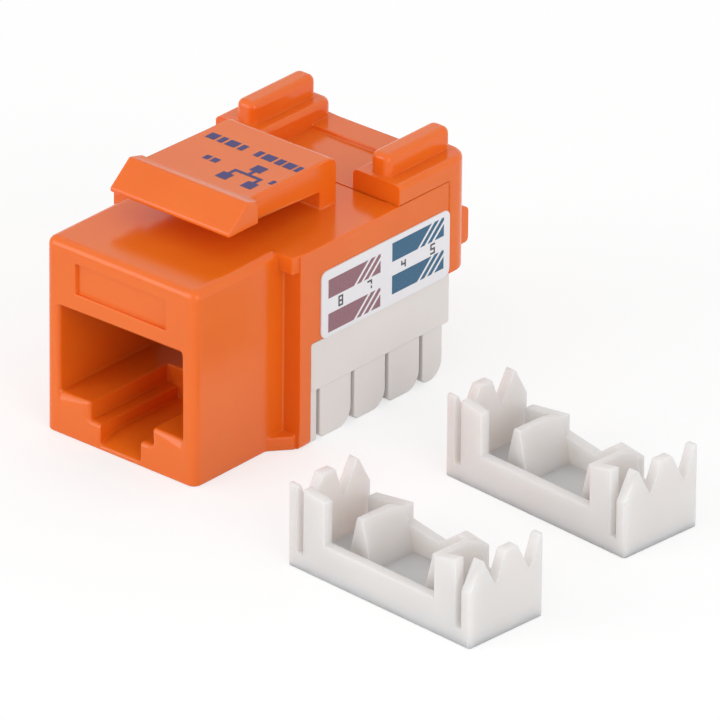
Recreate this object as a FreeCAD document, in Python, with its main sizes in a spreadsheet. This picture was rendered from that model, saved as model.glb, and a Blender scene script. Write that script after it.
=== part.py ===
import FreeCAD, Part

import math
import os
import re

import Sketcher

# Keystone jack with its two wire caps taken off, in millimetres.
# X runs to the right as seen from the front, Y from the front face to the back, Z up.
# The origin is the middle of the lower front edge of the front block, the edge that hooks into a panel.

DOC = FreeCAD.newDocument("KeystoneJack")
SIZES = DOC.addObject("Spreadsheet::Sheet", "Sizes")

# Driving sizes: name, value, meaning
DRIVING_SIZES = (
    ("block_width", 14.5, "front block, side to side"),
    ("block_height", 15.7, "front block and body, base to roof"),
    ("block_depth", 9.6, "front face to shoulder"),
    ("block_round", 0.7, "rounding of the front block's edges"),
    ("shoulder_depth", 1.3, "thickness of the shoulder plate"),
    ("shoulder_round", 0.4, "rounding of the shoulder's lower corners"),
    ("brow_depth", 0.65, "plate at the shoulder's top, front to back"),
    ("brow_height", 1.4, "plate at the shoulder's top, height"),
    ("brow_inset", 0.2, "plate at the shoulder's top, inside its face"),
    ("foot_depth", 1.8, "plate at the shoulder's foot, front to back at the block"),
    ("foot_tip", 0.3, "plate at the shoulder's foot, front to back at its outer end"),
    ("foot_height", 1.1, "plate at the shoulder's foot, height"),
    ("body_width", 17.8, "body behind the shoulder, side to side"),
    ("body_margin", 0.4, "last finger to back end of the side walls"),
    ("side_wall", 1.2, "side wall thickness"),
    ("roof_wall", 1.2, "roof thickness"),
    ("port_width", 11.86, "plug opening, side to side"),
    ("port_height", 6.98, "plug opening, sill to ceiling"),
    ("port_sill", 3.45, "height of the plug opening's sill"),
    ("key_width", 6.0, "upper step of the plug key"),
    ("key_drop", 1.41, "port sill to the upper step's floor"),
    ("key_depth", 8.6, "length of the plug key"),
    ("tab_width", 3.9, "slot for the plug's tab"),
    ("tab_drop", 1.04, "upper step's floor to the tab slot's floor"),
    ("lead_depth", 1.6, "lead-in slope of the tab slot, length"),
    ("lead_drop", 0.65, "lead-in slope of the tab slot, fall"),
    ("plate_width", 8.7, "bare recess above the port, side to side"),
    ("plate_height", 2.45, "bare recess above the port, height"),
    ("plate_gap", 1.42, "port ceiling to bare recess"),
    ("plate_sink", 0.3, "bare recess, depth"),
    ("catch_width", 10.0, "catch groove under the block, side to side"),
    ("catch_length", 1.6, "catch groove, front to back"),
    ("catch_back", 0.9, "catch groove to shoulder"),
    ("catch_sink", 0.5, "catch groove, depth"),
    ("latch_width", 9.9, "latch arm, side to side"),
    ("latch_rise", 3.8, "roof to top of latch arm"),
    ("latch_gap", 2.0, "roof to underside of latch arm at the lip"),
    ("root_gap", 1.4, "roof to underside of latch arm at its root"),
    ("root_behind", 6.65, "shoulder to latch root"),
    ("root_depth", 1.8, "latch root, front to back"),
    ("root_round", 0.9, "outer bend of the latch root"),
    ("lip_width", 11.5, "latch lip, side to side"),
    ("lip_front", 5.3, "front face to lower edge of the lip"),
    ("lip_ramp", 2.1, "sloped face of the lip, front to back"),
    ("lip_depth", 3.3, "latch lip, front to back"),
    ("lip_rise", 4.1, "roof to top of lip"),
    ("lip_nose", 0.35, "height of the lip's blunt front edge"),
    ("cover_length", 5.6, "rear cover on the side walls, front to back"),
    ("cover_rise", 1.65, "roof to top of a rail"),
    ("cover_wall", 2.4, "back wall thickness"),
    ("cover_round", 1.6, "rounding of the cover's back corners"),
    ("ridge_rise", 0.3, "roof to top of the back wall between the rails"),
    ("rail_width", 4.5, "rail of the rear cover, side to side"),
    ("rail_corner", 0.9, "rounding of a rail's inner back corner"),
    ("rail_round", 0.45, "rounding of a rail's upper edges"),
    ("rib_ledge", 1.5, "outer side of a rail to its rib"),
    ("rib_width", 1.8, "rib of a rail, side to side"),
    ("rib_height", 1.7, "rib above its rail"),
    ("rib_setback", 0.4, "rib behind its rail's front"),
    ("rib_tail", 0.5, "rib to its rail's back"),
    ("rib_corner", 0.6, "rounding of the ribs' corners"),
    ("rib_round", 0.55, "rounding of the ribs' upper edges"),
    ("lug_inset", 1.1, "body's side to a back lug"),
    ("lug_width", 1.2, "back lug, side to side"),
    ("lug_depth", 1.1, "back lug, front to back"),
    ("lug_height", 2.9, "back lug, height"),
    ("lug_rise", 1.1, "lower end of the back wall to a back lug"),
    ("lug_round", 0.4, "rounding of the back lugs"),
    ("finger_length", 4.2, "finger tip to wire block"),
    ("deck_thick", 3.9, "wire block above the fingers"),
    ("deck_lap", 0.15, "wire block past the side walls"),
    ("deck_inset", 0.05, "wire block inside the side walls' face"),
    ("row_inset", 0.15, "fingers inside the wire block's face"),
    ("row_thick", 4.5, "finger row, side to side"),
    ("channel_rise", 2.0, "cable channel above the fingers"),
    ("end_wall", 0.8, "front wall of the wire block"),
    ("end_finger", 2.19, "last finger, front to back"),
    ("wire_slot", 0.36, "wire slot between two fingers"),
    ("slot_pitch", 3.81, "wire slot to wire slot"),
    ("tip_round", 1.4, "rounding of the finger tips' back edge"),
    ("tip_bevel", 0.3, "bevel of the finger tips' front edge"),
    ("fork_width", 1.5, "forked contact, across"),
    ("fork_thick", 0.4, "forked contact, sheet thickness"),
    ("fork_slit", 0.3, "slit between the tines"),
    ("fork_mouth", 0.9, "mouth between the tines"),
    ("fork_lead", 0.6, "slope of the mouth"),
    ("fork_reach", 3.6, "length of the slit"),
    ("fork_tip", 1.0, "finger tip to contact tip"),
    ("pin_width", 0.6, "board pin of the forked contact"),
    ("pin_out", 0.6, "board pin above the board"),
    ("pin_hole", 0.9, "hole for a board pin"),
    ("board_side", 0.2, "circuit board to the side walls"),
    ("board_thick", 1.2, "circuit board"),
    ("board_gap", 0.1, "circuit board to the block and the back wall"),
    ("wire_width", 0.46, "spring contact, across"),
    ("wire_thick", 0.36, "spring contact, thickness"),
    ("wire_pitch", 1.016, "spring contact to spring contact"),
    ("wire_rise", 1.02, "port ceiling to the spring contacts' run"),
    ("wire_bend", 0.6, "bend of a spring contact, at its middle"),
    ("wire_nose", 3.1, "front face to the middle of the front bend"),
    ("wire_angle", 27.0, "slope of the spring contacts in the port, degrees"),
    ("wire_entry", 0.4, "free ends inside the comb"),
    ("tail_gap", 1.8, "front block to the first row of tails"),
    ("tail_step", 2.0, "first to second row of tails"),
    ("tail_hole", 0.7, "hole for a tail"),
    ("carrier_width", 9.2, "contact carrier, side to side"),
    ("carrier_rim", 1.0, "second row of tails to the carrier's back"),
    ("carrier_cover", 0.25, "carrier above the spring contacts' run"),
    ("tongue_under", 0.33, "carrier tongue below the bend's middle"),
    ("comb_depth", 1.3, "comb at the back of the port, front to back"),
    ("comb_floor", 0.4, "comb behind its slots"),
    ("comb_rise", 2.05, "port sill to the comb's lower end"),
    ("bay_side", 0.1, "carrier to the sides of its bay"),
    ("bay_wall", 2.0, "front wall of the carrier's bay"),
    ("fit", 0.05, "clearance of pieces that are pushed together"),
    ("label_tail", 0.05, "label to back end of the side wall"),
    ("label_height", 5.4, "side label, height"),
    ("label_lead", 0.9, "shoulder plate to label"),
    ("label_gap", 0.05, "wire block to label"),
    ("label_thick", 0.1, "side label"),
    ("label_round", 0.6, "corners of the label"),
    ("cap_wall", 0.9, "wire cap, wall"),
    ("cap_floor", 0.9, "wire cap, floor"),
    ("cap_depth", 5.7, "wire cap, depth inside"),
    ("cap_play", 0.5, "wire cap around its finger row"),
    ("cap_notch", 2.2, "notch in a cap's end wall, across"),
    ("cap_notch_deep", 2.4, "notch in a cap's end wall, depth"),
    ("cap_notch_lean", 0.9, "steep side of a notch in a cap's end wall, across"),
    ("cap_tooth", 0.45, "outer tooth of a cap's end wall, across"),
    ("cap_middle_tooth", 1.25, "middle tooth of a cap's end wall, across"),
    ("cap_tooth_slope", 1.2, "slope of the inner tooth of a cap's end wall, across"),
    ("cap_tooth_fall", 2.2, "slope of the inner tooth of a cap's end wall, height"),
    ("cap_slit", 0.6, "slit between a cap's end wall and its side walls"),
    ("cap_slit_floor", 0.4, "slit above the cap's floor"),
    ("cap_post", 2.1, "tall part of a cap's outer side wall, lengthwise"),
    ("cap_post_fall", 0.4, "slope on top of the tall part"),
    ("cap_sill", 1.9, "outer side wall between its tall parts, above the floor"),
    ("gate_end", 2.8, "inner side wall at the slit, above the floor"),
    ("gate_high", 3.4, "inner side wall at the first wedge, above the floor"),
    ("gate_step", 2.1, "inner side wall behind the first wedge, above the floor"),
    ("gate_dip", 1.6, "lowest part of the inner side wall, above the floor"),
    ("gate_peak", 3.1, "inner side wall at its second high part, above the floor"),
    ("gate_fall", 2.8, "inner side wall at the second wedge, above the floor"),
    ("gate_tail", 1.0, "inner side wall behind the second wedge, above the floor"),
    ("gate_dip_place", 0.5, "cap's middle to the lowest part, lengthwise"),
    ("gate_peak_place", 1.5, "cap's middle to the second high part, lengthwise"),
    ("wedge_pitch", 7.55, "wedge to wedge"),
    ("wedge_tip", 0.6, "wedge at its top, lengthwise"),
    ("wedge_flare", 0.9, "slope of a wedge's face, lengthwise"),
    ("wedge_height", 3.8, "wedges above the floor"),
    ("wedge_inset", 2.2, "cap's outer face to a wedge"),
    ("wedge_slope", 1.3, "slope at a wedge's inner end, across"),
    ("cap_round", 0.25, "rounding of a cap's corners"),
    ("cap_away", 11.2, "jack's side to the wire caps"),
    ("cap_front_place", -1.15, "middle of the nearer wire cap, front to back"),
    ("cap_spacing", 17.9, "nearer to farther wire cap"),
    ("cap_rear_shift", 0.6, "farther wire cap closer to the jack"),
    ("cap_front_turn", -3.8, "nearer wire cap, turn about Z in degrees"),
    ("cap_rear_turn", -4.5, "farther wire cap, turn about Z in degrees"),
)

# Places that follow from the driving sizes
HALF_BLOCK = "(block_width / 2)"
HALF_BODY = "(body_width / 2)"
HALF_ROOM = "(body_width / 2 - side_wall)"
BLOCK_BACK = "(block_depth + shoulder_depth)"
SLOT_COUNT = 4
WIRE_COUNT = 8
FIRST_SLOT = f"({BLOCK_BACK} + end_wall + wire_slot / 2)"
LAST_SLOT = f"({FIRST_SLOT} + {SLOT_COUNT - 1} * slot_pitch)"
LAST_FINGER = f"({LAST_SLOT} + wire_slot / 2 + end_finger)"
BODY_BACK = f"({LAST_FINGER} + body_margin)"
COVER_FRONT = f"({BODY_BACK} - cover_length)"
COVER_BACK = f"({BODY_BACK} + cover_wall)"
COVER_TOP = "(block_height + cover_rise)"
RAIL_INNER = f"({HALF_BODY} - rail_width)"
RIB_OUTER = f"({HALF_BODY} - rib_ledge)"
RIB_INNER = f"({RIB_OUTER} - rib_width)"
SKIRT = "(finger_length + deck_thick)"
LUG_LOW = f"({SKIRT} + lug_rise)"
KEY_SILL = "(port_sill - key_drop)"
TAB_FLOOR = f"({KEY_SILL} - tab_drop)"
PORT_TOP = "(port_sill + port_height)"
HALF_DECK = f"({HALF_BODY} - deck_inset)"
DECK_BACK = f"({BODY_BACK} + deck_lap)"
ROW_OUTER = f"({HALF_DECK} - row_inset)"
ROW_INNER = f"({ROW_OUTER} - row_thick)"
FORK_PLACE = f"(({ROW_INNER} + {ROW_OUTER}) / 2)"
BOARD_TOP = f"({SKIRT} + board_thick)"
RUN_LEVEL = f"({PORT_TOP} + wire_rise)"
BEND_LEVEL = f"({RUN_LEVEL} - wire_bend)"
GROOVE_FLOOR = f"({RUN_LEVEL} - wire_thick / 2)"
CARRIER_TOP = f"({RUN_LEVEL} + wire_thick / 2 + carrier_cover)"
COMB_FRONT = f"({BLOCK_BACK} - comb_depth)"
COMB_LOW = "(port_sill + comb_rise)"
WIRE_END = f"({COMB_FRONT} + wire_entry)"
TAIL_FIRST = f"({BLOCK_BACK} + tail_gap)"
CARRIER_BACK = f"({TAIL_FIRST} + tail_step + carrier_rim)"
LIP_BACK = "(lip_front + lip_depth)"
LATCH_TOP = "(block_height + latch_rise)"
ROOT_FRONT = "(block_depth + root_behind)"
CAP_TOP = "(cap_floor + cap_depth)"
CAP_HALF_ROOM = f"(({DECK_BACK} - {BLOCK_BACK}) / 2 + cap_play)"
CAP_HALF_LENGTH = f"({CAP_HALF_ROOM} + cap_wall)"
CAP_HALF_TROUGH = f"(({HALF_DECK} - {ROW_INNER}) / 2 + cap_play)"
CAP_HALF_WIDTH = f"({CAP_HALF_TROUGH} + cap_wall)"
CAP_PLACE = f"({HALF_BODY} + cap_away + {CAP_HALF_LENGTH})"

SIDES = (("right", 1), ("left", -1))
ORIGIN_PLANES = {"front": "XZ_Plane", "side": "YZ_Plane", "plan": "XY_Plane"}
TOLERANCE = 1e-4


# Sheet and expressions

def fill_sheet():
    """Writes the driving sizes to the sheet, one row each."""
    for row, (alias, size, meaning) in enumerate(DRIVING_SIZES, start=1):
        SIZES.set(f"A{row}", meaning)
        SIZES.set(f"B{row}", str(size))
        SIZES.setAlias(f"B{row}", alias)
    DOC.recompute()


def bound(formula):
    """Turns a formula in size names into an expression on the sheet."""
    names = {alias for alias, _, _ in DRIVING_SIZES}

    def cell(found):
        word = found.group()
        return f"Sizes.{word}" if word in names else word

    return re.sub(r"[a-z_][a-z0-9_]*", cell, str(formula))


def value(formula):
    """Number that a formula in size names stands for."""
    return float(SIZES.evalExpression(bound(formula)))


def slot_place(index):
    """Distance from the front face to a wire slot."""
    return f"({FIRST_SLOT} + {index} * slot_pitch)"


def wire_place(index):
    """Distance of a spring contact from the middle."""
    return f"({index - (WIRE_COUNT - 1) / 2} * wire_pitch)"


def tail_place(index):
    """Distance from the front face to a spring contact's tail, in two staggered rows."""
    return f"({TAIL_FIRST} + {index % 2} * tail_step)"


def mirrored(low, high, side):
    """Span from low to high on the right side, or the same span on the left side."""
    if side > 0:
        return low, high
    return f"-({high})", f"-({low})"


# Sketches and features

def new_body(name):
    """Empty body with a Label that names its file."""
    body = DOC.addObject("PartDesign::Body", name)
    body.Label = name
    return body


def sketch_on(body, name, view, level):
    """Sketch on one of the body's own planes, moved along it to a level."""
    sketch = body.newObject("Sketcher::SketchObject", name)
    role = ORIGIN_PLANES[view]
    plane = next(item for item in body.Origin.OriginFeatures if item.Role == role)
    sketch.AttachmentSupport = [(plane, "")]
    sketch.MapMode = "FlatFace"
    direction = "-" if view == "front" else ""
    sketch.setExpression("AttachmentOffset.Base.z", bound(f"{direction}({level})"))
    return sketch


def dimension(sketch, kind, formula, *places):
    """Adds a dimension to a sketch and ties it to the sheet."""
    index = sketch.addConstraint(Sketcher.Constraint(kind, *places, value(formula)))
    sketch.setExpression(f"Constraints[{index}]", bound(formula))


def fix_point(sketch, geometry, point, across, along):
    """Ties one point of a sketch to its place."""
    dimension(sketch, "DistanceX", across, -1, 1, geometry, point)
    dimension(sketch, "DistanceY", along, -1, 1, geometry, point)


def draw_outline(sketch, corners):
    """Closed outline of straight runs, each corner tied to the sheet."""
    first = sketch.GeometryCount
    count = len(corners)
    places = [FreeCAD.Vector(value(across), value(along), 0) for across, along in corners]
    for index, place in enumerate(places):
        sketch.addGeometry(Part.LineSegment(place, places[(index + 1) % count]))
    for index in range(count):
        following = first + (index + 1) % count
        sketch.addConstraint(Sketcher.Constraint("Coincident", first + index, 2, following, 1))
    for index, (across, along) in enumerate(corners):
        fix_point(sketch, first + index, 1, across, along)


def rectangle(left, right, low, high):
    """Corners of a rectangle."""
    return ((left, low), (right, low), (right, high), (left, high))


def wide(half, low, high):
    """Corners of a rectangle that is centred side to side."""
    return rectangle(f"-({half})", half, low, high)


def settle(feature, before, grows):
    """Recomputes a feature and makes sure that it added or removed material."""
    DOC.recompute()
    change = feature.Shape.Volume - before
    if (change if grows else -change) < TOLERANCE:
        raise RuntimeError(f"{feature.Name} changes the volume by {change:.6f}")
    return feature


def body_volume(body):
    """Volume of a body so far, zero when it has no solid yet."""
    if body.Tip is None or body.Tip.Shape.isNull():
        return 0.0
    return body.Tip.Shape.Volume


def pad(body, name, view, corners, start, end):
    """Adds an outline's solid between two levels of its view."""
    before = body_volume(body)
    sketch = sketch_on(body, f"{name}_outline", view, end if view == "front" else start)
    draw_outline(sketch, corners)
    feature = body.newObject("PartDesign::Pad", name)
    feature.Profile = sketch
    feature.setExpression("Length", bound(f"({end}) - ({start})"))
    return settle(feature, before, True)


def cut(body, name, view, corners, start, end):
    """Removes an outline's solid between two levels of its view."""
    before = body_volume(body)
    sketch = sketch_on(body, f"{name}_outline", view, start if view == "front" else end)
    draw_outline(sketch, corners)
    feature = body.newObject("PartDesign::Pocket", name)
    feature.Profile = sketch
    feature.setExpression("Length", bound(f"({end}) - ({start})"))
    return settle(feature, before, False)


def runs(axis, **places):
    """Test for straight edges along an axis, at given distances on the other axes."""
    wanted = {name: abs(value(formula)) for name, formula in places.items()}

    def chosen(edge):
        if len(edge.Vertexes) != 2 or not isinstance(edge.Curve, Part.Line):
            return False
        start, end = (vertex.Point for vertex in edge.Vertexes)
        if abs(abs(getattr(end - start, axis)) - (end - start).Length) > TOLERANCE:
            return False
        return all(abs(abs(getattr(start, name)) - at) < TOLERANCE for name, at in wanted.items())

    return chosen


def dress(body, name, kind, measure, size, *tests):
    """Rounds or bevels the edges of a body that pass one of the tests."""
    base = body.Tip
    edges = [
        f"Edge{number}"
        for number, edge in enumerate(base.Shape.Edges, start=1)
        if any(test(edge) for test in tests)
    ]
    if not edges:
        raise RuntimeError(f"{name} finds no edge")
    feature = body.newObject(f"PartDesign::{kind}", name)
    feature.Base = (base, edges)
    feature.setExpression(measure, bound(size))
    DOC.recompute()
    return feature


def round_edges(body, name, radius, *tests):
    """Rounds the edges of a body that pass one of the tests."""
    return dress(body, name, "Fillet", "Radius", radius, *tests)


def bevel_edges(body, name, size, *tests):
    """Bevels the edges of a body that pass one of the tests."""
    return dress(body, name, "Chamfer", "Size", size, *tests)


# Front housing: block with the plug port, shoulder, side walls, roof and snap latch

def add_latch(housing):
    """Snap latch on the roof: root, arm and the wider sloped lip."""
    root_back = f"{ROOT_FRONT} + root_depth"
    pad(
        housing, "latch_arm", "side",
        (
            (ROOT_FRONT, "block_height"),
            (root_back, "block_height"),
            (root_back, LATCH_TOP),
            ("lip_front + lip_ramp", LATCH_TOP),
            ("lip_front + lip_ramp", "block_height + latch_gap"),
            (ROOT_FRONT, "block_height + root_gap"),
        ),
        "-latch_width / 2", "latch_width / 2",
    )
    pad(
        housing, "latch_lip", "side",
        (
            ("lip_front", "block_height + latch_gap"),
            (LIP_BACK, "block_height + latch_gap"),
            (LIP_BACK, LATCH_TOP),
            ("lip_front + lip_ramp", "block_height + lip_rise"),
            ("lip_front", "block_height + latch_gap + lip_nose"),
        ),
        "-lip_width / 2", "lip_width / 2",
    )
    round_edges(housing, "latch_root_bend", "root_round", runs("x", y=root_back, z=LATCH_TOP))


def add_shoulder_plates(housing):
    """Guides on the shoulder's front: a plate at its top and a slanted plate at its foot."""
    for side_name, side in SIDES:
        inner, outer = mirrored(f"{HALF_BLOCK} - block_round", f"{HALF_BODY} - brow_inset", side)
        pad(
            housing, f"brow_{side_name}", "front",
            rectangle(inner, outer, "block_height - brow_height", "block_height"),
            "block_depth - brow_depth", "block_depth",
        )
        pad(
            housing, f"foot_{side_name}", "plan",
            (
                (f"{side} * {HALF_BLOCK}", "block_depth"),
                (f"{side} * {HALF_BLOCK}", "block_depth - foot_depth"),
                (f"{side} * ({HALF_BODY} - shoulder_round)", "block_depth - foot_tip"),
                (f"{side} * ({HALF_BODY} - shoulder_round)", "block_depth"),
            ),
            "0", "foot_height",
        )


def add_port(housing):
    """Plug port: opening, key for the plug's tab, and the bay of the contact carrier above it."""
    cut(housing, "port_opening", "front", wide("port_width / 2", "port_sill", PORT_TOP), "0", BLOCK_BACK)
    cut(housing, "key_step", "front", wide("key_width / 2", KEY_SILL, "port_sill"), "0", "key_depth")
    cut(housing, "tab_slot", "front", wide("tab_width / 2", TAB_FLOOR, KEY_SILL), "0", "key_depth")
    cut(
        housing, "tab_lead_in", "side",
        (("0", TAB_FLOOR), ("0", f"{TAB_FLOOR} - lead_drop"), ("lead_depth", TAB_FLOOR)),
        "-tab_width / 2", "tab_width / 2",
    )
    cut(
        housing, "carrier_bay", "front",
        wide("carrier_width / 2 + bay_side", PORT_TOP, f"{CARRIER_TOP} + bay_side"),
        "bay_wall", BLOCK_BACK,
    )


def make_front_housing():
    """Front housing, one moulding."""
    housing = new_body("front_housing")
    pad(housing, "block", "front", wide(HALF_BLOCK, "0", "block_height"), "0", BLOCK_BACK)
    pad(housing, "shoulder", "front", wide(HALF_BODY, "0", "block_height"), "block_depth", BLOCK_BACK)
    pad(housing, "rear_body", "front", wide(HALF_BODY, SKIRT, "block_height"), BLOCK_BACK, BODY_BACK)
    round_edges(
        housing, "block_rounding", "block_round",
        runs("x", y="0", z="block_height"),
        runs("z", x=HALF_BLOCK, y="0"),
        runs("y", x=HALF_BLOCK, z="block_height"),
    )
    round_edges(housing, "shoulder_rounding", "shoulder_round", runs("y", x=HALF_BODY, z="0"))
    cut(
        housing, "board_room", "front",
        wide(HALF_ROOM, SKIRT, "block_height - roof_wall"), BLOCK_BACK, BODY_BACK,
    )
    cut(
        housing, "cover_window", "plan",
        wide(HALF_ROOM, COVER_FRONT, BODY_BACK), "block_height - roof_wall", "block_height",
    )
    add_shoulder_plates(housing)
    add_port(housing)
    plate_sill = f"{PORT_TOP} + plate_gap"
    cut(
        housing, "bare_recess", "front",
        wide("plate_width / 2", plate_sill, f"{plate_sill} + plate_height"), "0", "plate_sink",
    )
    cut(
        housing, "catch_groove", "plan",
        wide("catch_width / 2", "block_depth - catch_back - catch_length", "block_depth - catch_back"),
        "0", "catch_sink",
    )
    add_latch(housing)
    return housing


# Rear cover: closes the roof and the back, and carries the two grip rails

def add_ribs(cover):
    """Grip rib on each rail, rounded at its ends and along its top."""
    front = f"{COVER_FRONT} + rib_setback"
    back = f"{COVER_BACK} - rib_tail"
    top = f"{COVER_TOP} + rib_height"
    for side_name, side in SIDES:
        inner, outer = mirrored(RIB_INNER, RIB_OUTER, side)
        pad(cover, f"rib_{side_name}", "front", rectangle(inner, outer, COVER_TOP, top), front, back)
    ends = [runs("z", x=face, y=end) for face in (RIB_INNER, RIB_OUTER) for end in (front, back)]
    round_edges(cover, "rib_corners", "rib_corner", *ends)
    round_edges(cover, "rib_rounding", "rib_round", runs("y", x=RIB_OUTER, z=top))


def add_lugs(cover):
    """Lug on each side of the back wall, rounded above and below."""
    outer_face = f"{HALF_BODY} - lug_inset"
    back = f"{COVER_BACK} + lug_depth"
    high = f"{LUG_LOW} + lug_height"
    for side_name, side in SIDES:
        inner, outer = mirrored(f"{outer_face} - lug_width", outer_face, side)
        pad(cover, f"lug_{side_name}", "front", rectangle(inner, outer, LUG_LOW, high), BODY_BACK, back)
    round_edges(cover, "lug_rounding", "lug_round", runs("x", y=back, z=LUG_LOW), runs("x", y=back, z=high))


def make_rear_cover():
    """Rear cover, one moulding."""
    cover = new_body("rear_cover")
    ridge_top = "block_height + ridge_rise"
    pad(cover, "back_wall", "front", wide(HALF_BODY, SKIRT, ridge_top), BODY_BACK, COVER_BACK)
    pad(
        cover, "closing_plate", "front",
        wide(f"{HALF_ROOM} - fit", "block_height - roof_wall", "block_height"),
        f"{COVER_FRONT} + fit", BODY_BACK,
    )
    for side_name, side in SIDES:
        inner, outer = mirrored(RAIL_INNER, HALF_BODY, side)
        pad(
            cover, f"rail_{side_name}", "front",
            rectangle(inner, outer, "block_height", COVER_TOP), COVER_FRONT, COVER_BACK,
        )
    round_edges(cover, "cover_corners", "cover_round", runs("z", x=HALF_BODY, y=COVER_BACK))
    round_edges(cover, "rail_corners", "rail_corner", runs("z", x=RAIL_INNER, y=COVER_BACK))
    round_edges(cover, "rail_rounding", "rail_round", runs("y", x=HALF_BODY, z=COVER_TOP))
    add_ribs(cover)
    add_lugs(cover)
    return cover


# Wire block: deck, two rows of fingers with wire slots, cable channel between the rows

def finger_spans():
    """Front and back of the fingers behind the front wall."""
    for index in range(SLOT_COUNT - 1):
        yield f"{slot_place(index)} + wire_slot / 2", f"{slot_place(index + 1)} - wire_slot / 2"
    yield f"{LAST_SLOT} + wire_slot / 2", LAST_FINGER


def fork_span(side, play):
    """Inner and outer face of a row's forked contacts, or of their pockets with some play."""
    half = f"(fork_thick / 2 + {play})"
    return mirrored(f"{FORK_PLACE} - {half}", f"{FORK_PLACE} + {half}", side)


def make_idc_block():
    """Wire block, one moulding."""
    block = new_body("idc_block")
    pad(block, "deck", "plan", wide(HALF_DECK, BLOCK_BACK, DECK_BACK), "finger_length", SKIRT)
    pad(
        block, "front_wall", "front", wide(ROW_OUTER, "0", "finger_length"),
        BLOCK_BACK, f"{BLOCK_BACK} + end_wall",
    )
    cut(
        block, "cable_channel", "front",
        wide(ROW_INNER, "finger_length", "finger_length + channel_rise"),
        f"{BLOCK_BACK} + end_wall", DECK_BACK,
    )
    for side_name, side in SIDES:
        inner, outer = mirrored(ROW_INNER, ROW_OUTER, side)
        for number, (front, back) in enumerate(finger_spans(), start=1):
            pad(
                block, f"finger_{side_name}_{number}", "side",
                rectangle(front, back, "0", "finger_length"), inner, outer,
            )
    spans = list(finger_spans())
    round_edges(block, "tip_rounding", "tip_round", *(runs("x", y=back, z="0") for _, back in spans))
    bevel_edges(block, "tip_bevels", "tip_bevel", *(runs("x", y=front, z="0") for front, _ in spans))
    half_pocket = "fork_width / 2 + fit"
    for side_name, side in SIDES:
        inner, outer = fork_span(side, "fit")
        for index in range(SLOT_COUNT):
            cut(
                block, f"contact_pocket_{side_name}_{index + 1}", "plan",
                rectangle(
                    inner, outer,
                    f"{slot_place(index)} - ({half_pocket})", f"{slot_place(index)} + {half_pocket}",
                ),
                "fork_tip - fit", SKIRT,
            )
    return block


# Circuit board with plated holes for the forked contacts and the spring contacts' tails

def drill(body, name, places, diameter, start, end):
    """Round holes at places in plan, between two levels."""
    before = body_volume(body)
    sketch = sketch_on(body, f"{name}_places", "plan", end)
    for across, along in places:
        centre = FreeCAD.Vector(value(across), value(along), 0)
        circle = sketch.addGeometry(Part.Circle(centre, FreeCAD.Vector(0, 0, 1), value(diameter) / 2))
        fix_point(sketch, circle, 3, across, along)
        dimension(sketch, "Diameter", diameter, circle)
    feature = body.newObject("PartDesign::Pocket", name)
    feature.Profile = sketch
    feature.setExpression("Length", bound(f"({end}) - ({start})"))
    return settle(feature, before, False)


def make_circuit_board():
    """Circuit board, lying on the wire block's deck."""
    board = new_body("circuit_board")
    outline = wide(f"{HALF_ROOM} - board_side", f"{BLOCK_BACK} + board_gap", f"{BODY_BACK} - board_gap")
    pad(board, "laminate", "plan", outline, SKIRT, BOARD_TOP)
    pins = [
        (f"{side} * {FORK_PLACE}", slot_place(index)) for _, side in SIDES for index in range(SLOT_COUNT)
    ]
    drill(board, "pin_holes", pins, "pin_hole", SKIRT, BOARD_TOP)
    tails = [(wire_place(index), tail_place(index)) for index in range(WIRE_COUNT)]
    drill(board, "tail_holes", tails, "tail_hole", SKIRT, BOARD_TOP)
    return board


# Contact carrier: tongue above the port, block on the board, comb behind the port

def make_contact_carrier():
    """Contact carrier, one moulding with a groove for each spring contact."""
    carrier = new_body("contact_carrier")
    half = "carrier_width / 2"
    tongue_low = f"{BEND_LEVEL} - tongue_under"
    pad(carrier, "tongue", "plan", wide(half, "wire_nose", CARRIER_BACK), tongue_low, CARRIER_TOP)
    pad(
        carrier, "board_seat", "plan",
        wide(half, f"{BLOCK_BACK} + board_gap", CARRIER_BACK), BOARD_TOP, tongue_low,
    )
    pad(carrier, "comb", "front", wide(half, COMB_LOW, tongue_low), COMB_FRONT, BLOCK_BACK)
    for index in range(WIRE_COUNT):
        left = f"{wire_place(index)} - wire_width / 2 - fit"
        right = f"{wire_place(index)} + wire_width / 2 + fit"
        tail_back = f"{tail_place(index)} + wire_thick / 2 + fit"
        cut(
            carrier, f"groove_{index + 1}", "plan",
            rectangle(left, right, "wire_nose", tail_back), GROOVE_FLOOR, CARRIER_TOP,
        )
        cut(
            carrier, f"tail_way_{index + 1}", "plan",
            rectangle(left, right, f"{tail_place(index)} - wire_bend - wire_thick / 2", tail_back),
            BOARD_TOP, GROOVE_FLOOR,
        )
        cut(
            carrier, f"comb_slot_{index + 1}", "front",
            rectangle(left, right, COMB_LOW, tongue_low), COMB_FRONT, f"{BLOCK_BACK} - comb_floor",
        )
    return carrier


# Spring contacts: tail in the board, run on the carrier, bend at its nose, slope back into the port

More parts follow.
